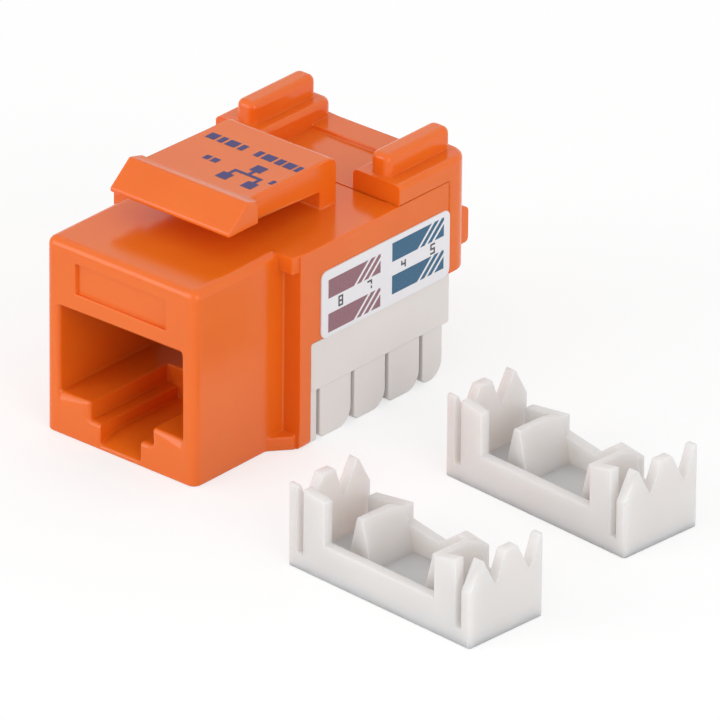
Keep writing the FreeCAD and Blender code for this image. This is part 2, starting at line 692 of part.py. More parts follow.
def draw_wire_path(sketch, tail):
    """Path of a spring contact in the side view: three straight runs and two tangent bends."""
    bend = value("wire_bend")
    run = value(RUN_LEVEL)
    low = value(f"{SKIRT} + board_gap")
    back = value(tail)
    nose = value("wire_nose")
    slope = FreeCAD.Rotation(FreeCAD.Vector(0, 0, 1), -value("wire_angle"))
    upward = FreeCAD.Vector(0, 0, 1)
    leg_way = slope.multVec(FreeCAD.Vector(1, 0, 0))
    tail_centre = FreeCAD.Vector(back - bend, run - bend, 0)
    nose_centre = FreeCAD.Vector(nose, run - bend, 0)
    leg_start = nose_centre + slope.multVec(FreeCAD.Vector(0, -bend, 0))
    leg_end = leg_start + leg_way * ((value(WIRE_END) - leg_start.x) / leg_way.x)
    quarter = math.pi / 2
    tail_run = sketch.addGeometry(
        Part.LineSegment(FreeCAD.Vector(back, low, 0), FreeCAD.Vector(back, run - bend, 0))
    )
    tail_bend = sketch.addGeometry(Part.ArcOfCircle(Part.Circle(tail_centre, upward, bend), 0, quarter))
    top_run = sketch.addGeometry(
        Part.LineSegment(FreeCAD.Vector(back - bend, run, 0), FreeCAD.Vector(nose, run, 0))
    )
    turn = math.radians(value("wire_angle"))
    nose_bend = sketch.addGeometry(
        Part.ArcOfCircle(Part.Circle(nose_centre, upward, bend), quarter, 3 * quarter - turn)
    )
    leg = sketch.addGeometry(Part.LineSegment(leg_start, leg_end))
    start, end, centre = 1, 2, 3
    for first, first_point, second, second_point in (
        (tail_run, end, tail_bend, start),
        (tail_bend, end, top_run, start),
        (top_run, end, nose_bend, start),
        (nose_bend, end, leg, start),
    ):
        sketch.addConstraint(Sketcher.Constraint("Tangent", first, first_point, second, second_point))
    sketch.addConstraint(Sketcher.Constraint("Vertical", tail_run))
    sketch.addConstraint(Sketcher.Constraint("Horizontal", top_run))
    fix_point(sketch, tail_run, start, tail, f"{SKIRT} + board_gap")
    dimension(sketch, "Radius", "wire_bend", tail_bend)
    dimension(sketch, "Radius", "wire_bend", nose_bend)
    fix_point(sketch, nose_bend, centre, "wire_nose", BEND_LEVEL)
    dimension(sketch, "DistanceX", WIRE_END, -1, 1, leg, end)
    angle = sketch.addConstraint(Sketcher.Constraint("Angle", -1, 1, leg, start, -turn))
    sketch.setExpression(f"Constraints[{angle}]", bound("-wire_angle * 1 deg"))


def make_contact_wire(index):
    """One spring contact, swept along its path."""
    name = f"contact_wire_{index + 1}"
    wire = new_body(name)
    path = sketch_on(wire, f"{name}_path", "side", wire_place(index))
    draw_wire_path(path, tail_place(index))
    section = sketch_on(wire, f"{name}_section", "plan", f"{SKIRT} + board_gap")
    draw_outline(
        section,
        rectangle(
            f"{wire_place(index)} - wire_width / 2", f"{wire_place(index)} + wire_width / 2",
            f"{tail_place(index)} - wire_thick / 2", f"{tail_place(index)} + wire_thick / 2",
        ),
    )
    sweep = wire.newObject("PartDesign::AdditivePipe", f"{name}_sweep")
    sweep.Profile = section
    sweep.Spine = (path, [])
    settle(sweep, 0.0, True)
    return wire


# Forked contacts: tines in the fingers, shoulders under the board, pin through the board

def make_idc_contact(number, side, index):
    """One forked contact, cut from sheet."""
    contact = new_body(f"idc_contact_{number}")
    middle = slot_place(index)
    corners = (
        ("fork_width / 2", "fork_tip"),
        ("fork_width / 2", SKIRT),
        ("pin_width / 2", SKIRT),
        ("pin_width / 2", f"{BOARD_TOP} + pin_out"),
        ("-pin_width / 2", f"{BOARD_TOP} + pin_out"),
        ("-pin_width / 2", SKIRT),
        ("-fork_width / 2", SKIRT),
        ("-fork_width / 2", "fork_tip"),
        ("-fork_mouth / 2", "fork_tip"),
        ("-fork_slit / 2", "fork_tip + fork_lead"),
        ("-fork_slit / 2", "fork_tip + fork_reach"),
        ("fork_slit / 2", "fork_tip + fork_reach"),
        ("fork_slit / 2", "fork_tip + fork_lead"),
        ("fork_mouth / 2", "fork_tip"),
    )
    placed = [(f"{middle} + {across}", height) for across, height in corners]
    inner, outer = fork_span(side, "0")
    pad(contact, f"fork_{number}", "side", placed, inner, outer)
    return contact


# Label on the right side wall

def make_side_label():
    """Wiring label, a thin sheet with round corners."""
    label = new_body("side_label")
    front = f"{BLOCK_BACK} + label_lead"
    back = f"{BODY_BACK} - label_tail"
    low = f"{SKIRT} + label_gap"
    high = f"{low} + label_height"
    pad(
        label, "sheet", "side", rectangle(front, back, low, high),
        HALF_BODY, f"{HALF_BODY} + label_thick",
    )
    round_edges(
        label, "label_corners", "label_round",
        runs("x", y=front, z=low), runs("x", y=back, z=low),
        runs("x", y=front, z=high), runs("x", y=back, z=high),
    )
    return label


# Wire caps: troughs for a finger row, with toothed end walls and two wedges across

def add_cap_notches(cap, name):
    """Three teeth on each end wall, the right wall turned half round, and slits beside the walls."""
    first_notch = f"(cap_tooth - {CAP_HALF_WIDTH})"
    second_notch = f"({first_notch} + cap_notch + cap_middle_tooth)"
    tooth_top = f"({CAP_HALF_WIDTH} - cap_tooth_slope)"
    for side_name, side in SIDES:
        wall_start, wall_end = mirrored(CAP_HALF_ROOM, CAP_HALF_LENGTH, side)
        for number, notch in enumerate((first_notch, second_notch), 1):
            cut(
                cap, f"{name}_{side_name}_notch_{number}", "side",
                (
                    (f"-({side}) * {notch}", CAP_TOP),
                    (f"-({side}) * ({notch} + cap_notch_lean)", f"{CAP_TOP} - cap_notch_deep"),
                    (f"-({side}) * ({notch} + cap_notch)", CAP_TOP),
                ),
                wall_start, wall_end,
            )
        cut(
            cap, f"{name}_{side_name}_tooth_slope", "side",
            (
                (f"-({side}) * {tooth_top}", CAP_TOP),
                (f"-({side}) * {CAP_HALF_WIDTH}", f"{CAP_TOP} - cap_tooth_fall"),
                (f"-({side}) * {CAP_HALF_WIDTH}", CAP_TOP),
            ),
            wall_start, wall_end,
        )
        slit_start, slit_end = mirrored(f"{CAP_HALF_ROOM} - cap_slit", CAP_HALF_ROOM, side)
        cut(
            cap, f"{name}_slit_{side_name}", "front",
            rectangle(slit_start, slit_end, "cap_floor + cap_slit_floor", CAP_TOP),
            f"-{CAP_HALF_WIDTH}", CAP_HALF_WIDTH,
        )


def shape_cap_sides(cap, name):
    """Side walls: the outer one with a tall post at each end, the inner one in two steps."""
    post_end = f"({CAP_HALF_ROOM} - cap_slit)"
    post_start = f"({post_end} - cap_post)"
    post_level = f"{CAP_TOP} - cap_post_fall"
    cut(
        cap, f"{name}_outer_wall", "front",
        (
            (f"-{post_start}", "cap_floor + cap_sill"),
            (post_start, "cap_floor + cap_sill"),
            (post_start, post_level),
            (post_end, CAP_TOP),
            (f"-{post_end}", CAP_TOP),
            (f"-{post_start}", post_level),
        ),
        f"-{CAP_HALF_WIDTH}", "0",
    )
    cut(
        cap, f"{name}_inner_wall", "front",
        (
            (f"-{post_end}", "cap_floor + gate_end"),
            ("-wedge_pitch / 2", "cap_floor + gate_high"),
            ("-wedge_pitch / 2", "cap_floor + gate_step"),
            ("-gate_dip_place", "cap_floor + gate_dip"),
            ("gate_peak_place", "cap_floor + gate_peak"),
            ("wedge_pitch / 2", "cap_floor + gate_fall"),
            ("wedge_pitch / 2", "cap_floor + gate_tail"),
            (post_end, "cap_floor + gate_tail"),
            (post_end, CAP_TOP),
            (f"-{post_end}", CAP_TOP),
        ),
        "0", CAP_HALF_WIDTH,
    )


def add_cap_wedges(cap, name):
    """Two wedges across a cap that part the wire pairs, sloped at their inner ends."""
    top = "cap_floor + wedge_height"
    for wedge_name, face in (("first", "(-wedge_pitch / 2)"), ("second", "(wedge_pitch / 2)")):
        pad(
            cap, f"{name}_{wedge_name}_wedge", "front",
            (
                (f"{face} - wedge_tip - wedge_flare", "cap_floor"),
                (f"{face} + wedge_flare", "cap_floor"),
                (face, top),
                (f"{face} - wedge_tip", top),
            ),
            f"wedge_inset - {CAP_HALF_WIDTH}", CAP_HALF_TROUGH,
        )
    wedge_end = f"({CAP_HALF_ROOM} - cap_slit)"
    cut(
        cap, f"{name}_wedge_slopes", "side",
        (
            (f"{CAP_HALF_TROUGH} - wedge_slope", top),
            (CAP_HALF_TROUGH, "cap_floor + gate_high"),
            (CAP_HALF_TROUGH, top),
        ),
        f"-{wedge_end}", wedge_end,
    )


def make_wire_cap(name, across, along, turn):
    """One wire cap, modelled lengthwise along X and set down where it lies."""
    cap = new_body(name)
    pad(
        cap, f"{name}_shell", "plan",
        wide(CAP_HALF_LENGTH, f"-{CAP_HALF_WIDTH}", CAP_HALF_WIDTH), "0", CAP_TOP,
    )
    cut(
        cap, f"{name}_trough", "plan",
        wide(CAP_HALF_ROOM, f"-{CAP_HALF_TROUGH}", CAP_HALF_TROUGH), "cap_floor", CAP_TOP,
    )
    add_cap_notches(cap, name)
    shape_cap_sides(cap, name)
    add_cap_wedges(cap, name)
    round_edges(cap, f"{name}_rounding", "cap_round", runs("z", x=CAP_HALF_LENGTH, y=CAP_HALF_WIDTH))
    cap.Placement = FreeCAD.Placement(
        FreeCAD.Vector(0, 0, 0), FreeCAD.Rotation(FreeCAD.Vector(0, 0, 1), value(turn))
    )
    cap.setExpression("Placement.Rotation.Angle", bound(turn))
    cap.setExpression("Placement.Base.x", bound(across))
    cap.setExpression("Placement.Base.y", bound(along))
    return cap


# Build, check and write

def check_document(pieces):
    """Stops if anything in the document failed, or a piece is not one valid solid."""
    for item in DOC.Objects:
        if "Invalid" in item.State or "Error" in item.State:
            raise RuntimeError(f"{item.Name} failed: {item.State}")
    for piece in pieces:
        shape = piece.Shape
        if shape.isNull() or not shape.isValid() or len(shape.Solids) != 1:
            raise RuntimeError(f"{piece.Label} is not one valid solid")


def main():
    """Builds every piece and writes one file for each."""
    fill_sheet()
    pieces = [make_front_housing(), make_rear_cover(), make_idc_block(), make_circuit_board()]
    pieces.append(make_contact_carrier())
    pieces.extend(make_contact_wire(index) for index in range(WIRE_COUNT))
    number = 0
    for _, side in SIDES:
        for index in range(SLOT_COUNT):
            number += 1
            pieces.append(make_idc_contact(number, side, index))
    pieces.append(make_side_label())
    pieces.append(make_wire_cap("wire_cap_front", CAP_PLACE, "cap_front_place", "cap_front_turn"))
    rear_across = f"{CAP_PLACE} - cap_rear_shift"
    rear_along = "cap_front_place + cap_spacing"
    pieces.append(make_wire_cap("wire_cap_rear", rear_across, rear_along, "cap_rear_turn"))
    DOC.recompute()
    check_document(pieces)
    os.makedirs("parts", exist_ok=True)
    for piece in pieces:
        piece.Shape.exportStep(os.path.join("parts", f"{piece.Label}.step"))
        print(f"{piece.Label}: {piece.Shape.Volume:.2f} cubic millimetres")


main()
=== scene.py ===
"""Dresses a keystone jack and its two loose wire caps: finishes, print, light and camera."""

import logging
import math
from dataclasses import dataclass
from enum import Enum
from typing import Protocol, Sequence

import bmesh
import bpy
from mathutils import Matrix, Vector


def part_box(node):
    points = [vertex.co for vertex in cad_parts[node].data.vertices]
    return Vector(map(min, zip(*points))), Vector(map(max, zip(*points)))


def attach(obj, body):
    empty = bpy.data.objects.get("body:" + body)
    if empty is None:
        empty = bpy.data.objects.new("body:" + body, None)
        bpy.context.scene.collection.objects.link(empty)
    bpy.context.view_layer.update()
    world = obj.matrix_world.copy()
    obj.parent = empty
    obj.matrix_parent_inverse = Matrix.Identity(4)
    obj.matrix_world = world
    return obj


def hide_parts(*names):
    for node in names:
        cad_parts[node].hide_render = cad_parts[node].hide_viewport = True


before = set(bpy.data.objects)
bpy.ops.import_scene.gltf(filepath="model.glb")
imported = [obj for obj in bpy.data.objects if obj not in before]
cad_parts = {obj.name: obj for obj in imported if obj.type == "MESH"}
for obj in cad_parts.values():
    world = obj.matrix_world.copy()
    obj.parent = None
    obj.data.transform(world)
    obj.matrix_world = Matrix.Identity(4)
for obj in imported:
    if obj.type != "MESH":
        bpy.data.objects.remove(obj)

LOG = logging.getLogger("keystone_jack")
MM = 0.001
BODY = "root"
RIGHT = Vector((1.0, 0.0, 0.0))
REARWARD = Vector((0.0, 1.0, 0.0))
UP = Vector((0.0, 0.0, 1.0))

FULL_LEVEL = 255
CURVE_KNEE = 0.04045
CURVE_SLOPE = 12.92
CURVE_OFFSET = 0.055
CURVE_POWER = 2.4

Colour = tuple[float, float, float, float]
Point = tuple[float, float]
Place = tuple[float, float, float]
Socket = bpy.types.NodeSocket
Sockets = dict[str, Socket]
Solid = bmesh.types.BMesh
Facet = bmesh.types.BMFace
Edge = bmesh.types.BMEdge
Vertex = bmesh.types.BMVert


def srgb(red: int, green: int, blue: int) -> Colour:
    """Turns a colour as seen on a screen into linear values.

    Args:
        red: Red from 0 to 255.
        green: Green from 0 to 255.
        blue: Blue from 0 to 255.

    Returns:
        The linear colour with full alpha.
    """
    def linear(level: int) -> float:
        """Turns one screen level into its share of full light."""
        share = level / FULL_LEVEL
        if share <= CURVE_KNEE:
            return share / CURVE_SLOPE
        return ((share + CURVE_OFFSET) / (1 + CURVE_OFFSET)) ** CURVE_POWER

    return linear(red), linear(green), linear(blue), 1.0


class Slot(Enum):
    """Material slots of the record under which new pieces are reported."""

    ORANGE = "orange_plastic"
    WIRE_BLOCK = "wire_block_plastic"
    CAP = "cap_plastic"
    LABEL = "label_sheet"


class NodeCanvas:
    """Adds nodes to one node tree and joins them."""

    def __init__(self, tree: bpy.types.NodeTree) -> None:
        """Starts on a tree."""
        self.tree = tree

    def add(self, kind: str, **settings: object) -> bpy.types.Node:
        """Adds a node.

        Args:
            kind: Blender's name of the node's type.
            settings: Properties of the node, by name.

        Returns:
            The new node.
        """
        node = self.tree.nodes.new(kind)
        for name, value in settings.items():
            setattr(node, name, value)
        return node

    def join(self, source: Socket, target: Socket) -> None:
        """Links an output to an input."""
        self.tree.links.new(source, target)

    def math(self, operation: str, first: Socket | float, second: Socket | float) -> Socket:
        """Adds a Math node.

        Args:
            operation: Blender's name of the operation.
            first: A socket to link, or a number.
            second: A socket to link, or a number.

        Returns:
            The node's output.
        """
        node = self.add("ShaderNodeMath", operation=operation)
        for socket, value in zip(node.inputs, (first, second)):
            if isinstance(value, Socket):
                self.join(value, socket)
            else:
                socket.default_value = value
        return node.outputs[0]

    def blend(self, share: Socket, first: Socket, second: Socket) -> Socket:
        """Adds a colour mix.

        Args:
            share: The share of the second colour.
            first: The first colour.
            second: The second colour.

        Returns:
            The mixed colour.
        """
        node = self.add("ShaderNodeMix", data_type="RGBA")
        self.join(share, node.inputs["Factor"])
        colours = [socket for socket in node.inputs if socket.type == "RGBA"]
        self.join(first, colours[0])
        self.join(second, colours[1])
        return next(socket for socket in node.outputs if socket.type == "RGBA")


@dataclass(frozen=True)
class GroupSocket:
    """Named socket of a shader node group."""

    name: str
    kind: str
    inward: bool = True


class SurfaceEffects:
    """Shader node groups that several finishes share, built once."""

    FLOAT = "NodeSocketFloat"
    COLOUR = "NodeSocketColor"
    SOFT_DETAIL = 2.0
    FINE_DETAIL = 3.0
    DRIFT_RANGE = (0.3, 0.7)
    LINE_STRETCH = (1.0, 0.06, 0.06)

    def __init__(self) -> None:
        """Builds every group."""
        self.tone_drift = self._tone_drift()
        self.mould_grain = self._mould_grain()
        self.ink_cover = self._ink_cover()
        self.plating_drift = self._plating_drift()

    def _new_group(
        self, name: str, sockets: Sequence[GroupSocket],
    ) -> tuple[NodeCanvas, Sockets, Sockets]:
        """Starts a group with its sockets.

        Args:
            name: Name of the group.
            sockets: The group's inputs and outputs.

        Returns:
            A canvas on the group, its inputs by name and its outputs by name.
        """
        tree = bpy.data.node_groups.new(name, "ShaderNodeTree")
        for socket in sockets:
            side = "INPUT" if socket.inward else "OUTPUT"
            tree.interface.new_socket(name=socket.name, in_out=side, socket_type=socket.kind)
        canvas = NodeCanvas(tree)
        entry = canvas.add("NodeGroupInput")
        leave = canvas.add("NodeGroupOutput")
        return canvas, dict(entry.outputs.items()), dict(leave.inputs.items())

    def _noise(
        self, canvas: NodeCanvas, size: Socket, detail: float, stretch: Place | None = None,
    ) -> Socket:
        """Adds solid noise of a real size.

        Args:
            canvas: Where the noise goes.
            size: Size of its patches in metres.
            detail: Octaves of finer noise in it.
            stretch: How dense it is along each axis, where its patches are drawn out.

        Returns:
            The noise, from 0 to 1.
        """
        place = canvas.add("ShaderNodeTexCoord").outputs["Object"]
        if stretch is not None:
            drawn_out = canvas.add("ShaderNodeMapping")
            drawn_out.inputs["Scale"].default_value = stretch
            canvas.join(place, drawn_out.inputs["Vector"])
            place = drawn_out.outputs["Vector"]
        noise = canvas.add("ShaderNodeTexNoise")
        noise.inputs["Detail"].default_value = detail
        canvas.join(place, noise.inputs["Vector"])
        canvas.join(canvas.math("DIVIDE", 1.0, size), noise.inputs["Scale"])
        return noise.outputs["Fac"]

    def _drift_gloss(self, canvas: NodeCanvas, patch: Socket, entry: Sockets, leave: Sockets) -> None:
        """Lets the roughness rise from its least value with a pattern.

        Args:
            canvas: Canvas on the group.
            patch: The pattern, from 0 to 1.
            entry: The group's inputs.
            leave: The group's outputs.
        """
        rise = canvas.math("MULTIPLY", patch, entry["Roughness Spread"])
        canvas.join(canvas.math("ADD", rise, entry["Least Roughness"]), leave["Roughness"])

    def _tone_drift(self) -> bpy.types.NodeTree:
        """Builds a slow drift between two tones, as where melt fronts meet in a mould.

        Returns:
            The group.
        """
        canvas, entry, leave = self._new_group("tone_drift", (
            GroupSocket("Tone", self.COLOUR),
            GroupSocket("Deep Tone", self.COLOUR),
            GroupSocket("Patch Size", self.FLOAT),
            GroupSocket("Colour", self.COLOUR, inward=False),
        ))
        spread = canvas.add("ShaderNodeMapRange")
        for end, value in zip(("From Min", "From Max"), self.DRIFT_RANGE):
            spread.inputs[end].default_value = value
        canvas.join(self._noise(canvas, entry["Patch Size"], self.FINE_DETAIL), spread.inputs["Value"])
        canvas.join(canvas.blend(spread.outputs[0], entry["Tone"], entry["Deep Tone"]), leave["Colour"])
        return canvas.tree

    def _mould_grain(self) -> bpy.types.NodeTree:
        """Builds the fine grain left by the mould's surface, with a gloss that drifts a little.

        Returns:
            The group.
        """
        canvas, entry, leave = self._new_group("mould_grain", (
            GroupSocket("Grain Size", self.FLOAT),
            GroupSocket("Gloss Patch", self.FLOAT),
            GroupSocket("Least Roughness", self.FLOAT),
            GroupSocket("Roughness Spread", self.FLOAT),
            GroupSocket("Height", self.FLOAT, inward=False),
            GroupSocket("Roughness", self.FLOAT, inward=False),
        ))
        canvas.join(self._noise(canvas, entry["Grain Size"], self.SOFT_DETAIL), leave["Height"])
        patch = self._noise(canvas, entry["Gloss Patch"], self.SOFT_DETAIL)
        self._drift_gloss(canvas, patch, entry, leave)
        return canvas.tree

    def _ink_cover(self) -> bpy.types.NodeTree:
        """Builds an ink that lets a little of what it is printed on show through.

        Returns:
            The group.
        """
        canvas, entry, leave = self._new_group("ink_cover", (
            GroupSocket("Ink", self.COLOUR),
            GroupSocket("Base", self.COLOUR),
            GroupSocket("Speck Size", self.FLOAT),
            GroupSocket("Thin Share", self.FLOAT),
            GroupSocket("Colour", self.COLOUR, inward=False),
        ))
        specks = self._noise(canvas, entry["Speck Size"], self.FINE_DETAIL)
        share = canvas.math("MULTIPLY", specks, entry["Thin Share"])
        canvas.join(canvas.blend(share, entry["Ink"], entry["Base"]), leave["Colour"])
        return canvas.tree

    def _plating_drift(self) -> bpy.types.NodeTree:
        """Builds plated metal: two tones and fine drawing lines along the piece.

        Returns:
            The group.
        """
        canvas, entry, leave = self._new_group("plating_drift", (
            GroupSocket("Bright Tone", self.COLOUR),
            GroupSocket("Dull Tone", self.COLOUR),
            GroupSocket("Patch Size", self.FLOAT),
            GroupSocket("Line Size", self.FLOAT),
            GroupSocket("Least Roughness", self.FLOAT),
            GroupSocket("Roughness Spread", self.FLOAT),
            GroupSocket("Colour", self.COLOUR, inward=False),
            GroupSocket("Height", self.FLOAT, inward=False),
            GroupSocket("Roughness", self.FLOAT, inward=False),
        ))
        patch = self._noise(canvas, entry["Patch Size"], self.SOFT_DETAIL)
        canvas.join(canvas.blend(patch, entry["Bright Tone"], entry["Dull Tone"]), leave["Colour"])
        lines = self._noise(canvas, entry["Line Size"], self.SOFT_DETAIL, self.LINE_STRETCH)
        canvas.join(lines, leave["Height"])
        self._drift_gloss(canvas, patch, entry, leave)
        return canvas.tree


def blank_material(name: str) -> tuple[bpy.types.Material, NodeCanvas]:
    """Makes a material with no nodes.

    Args:
        name: Name of the material.

    Returns:
        The material and a canvas on its nodes.
    """
    material = bpy.data.materials.new(name)
    material.use_nodes = True
    material.node_tree.nodes.clear()
    return material, NodeCanvas(material.node_tree)


def new_material(name: str) -> tuple[bpy.types.Material, NodeCanvas, bpy.types.Node]:
    """Makes a material with one Principled shader.

    Args:
        name: Name of the material.

    Returns:
        The material, a canvas on its nodes and the shader.
    """
    material, canvas = blank_material(name)
    shader = canvas.add("ShaderNodeBsdfPrincipled")
    output = canvas.add("ShaderNodeOutputMaterial")
    canvas.join(shader.outputs["BSDF"], output.inputs["Surface"])
    return material, canvas, shader


def add_effect(canvas: NodeCanvas, group: bpy.types.NodeTree, **values: object) -> bpy.types.Node:
    """Places a shared effect in a material.

    Args:
        canvas: Canvas on the material's nodes.
        group: The effect's node group.
        values: Values of its inputs, with _ in place of a space.

    Returns:
        The group's node.
    """
    node = canvas.add("ShaderNodeGroup", node_tree=group)
    for name, value in values.items():
        node.inputs[name.replace("_", " ")].default_value = value
    return node


def add_bump(canvas: NodeCanvas, shader: bpy.types.Node, height: Socket, rise: float) -> None:
    """Raises a material's surface by a height pattern.

    Args:
        canvas: Canvas on the material's nodes.
        shader: The material's shader.
        height: The pattern, from 0 to 1.
        rise: What a height of 1 stands for, in metres.
    """
    bump = canvas.add("ShaderNodeBump")
    bump.inputs["Strength"].default_value = 1.0
    bump.inputs["Distance"].default_value = rise
    canvas.join(height, bump.inputs["Height"])
    canvas.join(bump.outputs["Normal"], shader.inputs["Normal"])


@dataclass(frozen=True)
class MouldedPlastic:
    """Injection-moulded plastic. Its glow is light that goes in and comes out again near by."""

    name: str
    tone: Colour
    deep_tone: Colour
    least_roughness: float
    roughness_spread: float = 0.08
    patch_size: float = 9 * MM
    grain_size: float = 0.12 * MM
    grain_rise: float = 0.0012 * MM
    glow_share: float = 0.0
    glow_depth: float = 0.6 * MM
    glow_reach: tuple[float, float, float] = (1.0, 0.9, 0.8)
    refraction: float = 1.45

    def material(self, effects: SurfaceEffects) -> bpy.types.Material:
        """Builds the finish.

        Args:
            effects: The shared effects.

        Returns:
            The material.
        """
        material, canvas, shader = new_material(self.name)
        tone = add_effect(
            canvas, effects.tone_drift,
            Tone=self.tone, Deep_Tone=self.deep_tone, Patch_Size=self.patch_size,
        )
        grain = add_effect(
            canvas, effects.mould_grain,
            Grain_Size=self.grain_size, Gloss_Patch=self.patch_size,
            Least_Roughness=self.least_roughness, Roughness_Spread=self.roughness_spread,
        )
        canvas.join(tone.outputs["Colour"], shader.inputs["Base Color"])
        canvas.join(grain.outputs["Roughness"], shader.inputs["Roughness"])
        add_bump(canvas, shader, grain.outputs["Height"], self.grain_rise)
        shader.inputs["IOR"].default_value = self.refraction
        shader.inputs["Subsurface Weight"].default_value = self.glow_share
        shader.inputs["Subsurface Scale"].default_value = self.glow_depth
        shader.inputs["Subsurface Radius"].default_value = self.glow_reach
        return material


@dataclass(frozen=True)
class PlatedMetal:
    """Metal with a thin bright plating and fine drawing lines."""

    name: str
    bright_tone: Colour
    dull_tone: Colour
    least_roughness: float = 0.16
    roughness_spread: float = 0.14
    patch_size: float = 1.2 * MM
    line_size: float = 0.02 * MM
    line_rise: float = 0.0004 * MM

    def material(self, effects: SurfaceEffects) -> bpy.types.Material:
        """Builds the finish.

        Args:
            effects: The shared effects.

        Returns:
            The material.
        """
        material, canvas, shader = new_material(self.name)
        plating = add_effect(
            canvas, effects.plating_drift,
            Bright_Tone=self.bright_tone, Dull_Tone=self.dull_tone,
            Patch_Size=self.patch_size, Line_Size=self.line_size,
            Least_Roughness=self.least_roughness, Roughness_Spread=self.roughness_spread,
        )
        canvas.join(plating.outputs["Colour"], shader.inputs["Base Color"])
        canvas.join(plating.outputs["Roughness"], shader.inputs["Roughness"])
        add_bump(canvas, shader, plating.outputs["Height"], self.line_rise)
        shader.inputs["Metallic"].default_value = 1.0
        return material


@dataclass(frozen=True)
class PrintInk:
    """Ink on film or plastic. Its thin share is how much of the base shows through at most."""

    name: str
    ink: Colour
    base: Colour
    thin_share: float
    speck_size: float = 0.18 * MM
    roughness: float = 0.5

    def material(self, effects: SurfaceEffects) -> bpy.types.Material:
        """Builds the finish.

        Args:
            effects: The shared effects.

        Returns:
            The material.
        """
        material, canvas, shader = new_material(self.name)
        cover = add_effect(
            canvas, effects.ink_cover,
            Ink=self.ink, Base=self.base, Speck_Size=self.speck_size, Thin_Share=self.thin_share,
        )
        canvas.join(cover.outputs["Colour"], shader.inputs["Base Color"])
        shader.inputs["Roughness"].default_value = self.roughness
        return material


Finish = MouldedPlastic | PlatedMetal | PrintInk

ORANGE_TONE = srgb(238, 114, 28)
FILM_TONE = srgb(238, 237, 240)

ORANGE_PLASTIC = MouldedPlastic(
    "orange_plastic", tone=ORANGE_TONE, deep_tone=srgb(234, 108, 25), least_roughness=0.13,
    glow_share=0.4, glow_depth=0.8 * MM, glow_reach=(1.0, 0.2, 0.08),
)
WIRE_BLOCK_PLASTIC = MouldedPlastic(
    "wire_block_plastic", tone=srgb(232, 227, 224), deep_tone=srgb(227, 221, 218),
    least_roughness=0.34, glow_share=0.25,
)
CAP_PLASTIC = MouldedPlastic(
    "cap_plastic", tone=srgb(223, 220, 218), deep_tone=srgb(219, 215, 213),
    least_roughness=0.4, glow_share=1.0, glow_depth=3 * MM,
)
CARRIER_PLASTIC = MouldedPlastic(
    "carrier_plastic", tone=srgb(150, 48, 18), deep_tone=srgb(138, 42, 15), least_roughness=0.35,
)
BOARD_LAMINATE = MouldedPlastic(
    "board_laminate", tone=srgb(24, 92, 52), deep_tone=srgb(20, 80, 44), least_roughness=0.3,
    grain_size=0.5 * MM, grain_rise=0.004 * MM,
)
LABEL_FILM = MouldedPlastic(
    "label_film", tone=FILM_TONE, deep_tone=srgb(232, 231, 235), least_roughness=0.42,
    grain_size=0.05 * MM,
)
GOLD_CONTACT = PlatedMetal(
    "gold_contact", bright_tone=srgb(236, 190, 104), dull_tone=srgb(206, 152, 70),
)
TINNED_CONTACT = PlatedMetal(
    "tinned_contact", bright_tone=srgb(214, 214, 210), dull_tone=srgb(182, 182, 178),
    least_roughness=0.24,
)
MAUVE_INK = PrintInk("mauve_ink", ink=srgb(134, 80, 93), base=FILM_TONE, thin_share=0.14)
BLUE_INK = PrintInk("blue_ink", ink=srgb(0, 86, 122), base=FILM_TONE, thin_share=0.07)
DARK_INK = PrintInk("dark_ink", ink=srgb(48, 48, 58), base=FILM_TONE, thin_share=0.1)
LATCH_INK = PrintInk("latch_ink", ink=srgb(26, 44, 112), base=ORANGE_TONE, thin_share=0.08)


class Wardrobe:
    """Keeps one material for each finish."""

    def __init__(self) -> None:
        """Starts with the shared effects and no material."""
        self.effects = SurfaceEffects()
        self.made: dict[str, bpy.types.Material] = {}

    def material(self, finish: Finish) -> bpy.types.Material:
        """Gives the material of a finish, built on first use.

        Args:
            finish: The finish.

        Returns:
            Its material.
        """
        if finish.name not in self.made:
            self.made[finish.name] = finish.material(self.effects)
        return self.made[finish.name]

    def dress(self, piece: bpy.types.Object, *finishes: Finish) -> None:
        """Puts finishes on a piece.

        Args:
            piece: The piece.
            finishes: One finish for each of its material slots.
        """
        slots = piece.data.materials
        # Clearing sets every face back to the first slot, so a new print's empty list is left alone.
        if slots:
            slots.clear()
        for finish in finishes:
            slots.append(self.material(finish))

    def dress_solid(self, node: str, finish: Finish) -> None:
        """Puts a finish on a solid that is shown as it is, and reports it."""
        self.dress(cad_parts[node], finish)
        LOG.info("%s: solid, finish %s", node, finish.name)


class Assembly(Protocol):
    """Part of the jack that makes its own pieces."""

    def build(self, wardrobe: Wardrobe) -> None:
        """Builds and dresses the pieces."""


def settle(piece: bpy.types.Object, slot: Slot, replaced: str | None = None) -> None:
    """Joins a piece to the jack's body and reports it.

    Args:
        piece: The piece, in place.
        slot: The record's slot that it is reported under.
        replaced: The solid that it stands for, if any.
    """
    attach(piece, BODY)
    if replaced is not None:
        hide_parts(replaced)
    LOG.info("%s: %d faces, slot %s", piece.name, len(piece.data.polygons), slot.value)


def new_object(name: str, data: bpy.types.ID) -> bpy.types.Object:
    """Links a mesh, a lamp or a camera to the scene as an object.

    Args:
        name: Name of the object.
        data: What the object shows.

    Returns:
        The object.
    """
    item = bpy.data.objects.new(name, data)
    bpy.context.scene.collection.objects.link(item)
    return item


@dataclass(frozen=True)
class RoundingZone:
    """Box in the jack's frame whose edges have a rounding of their own."""

    low: Place
    high: Place
    width: float

    def holds(self, place: Vector) -> bool:
        """Tells whether a point is in the box."""
        return all(low <= value <= high for low, value, high in zip(self.low, place, self.high))


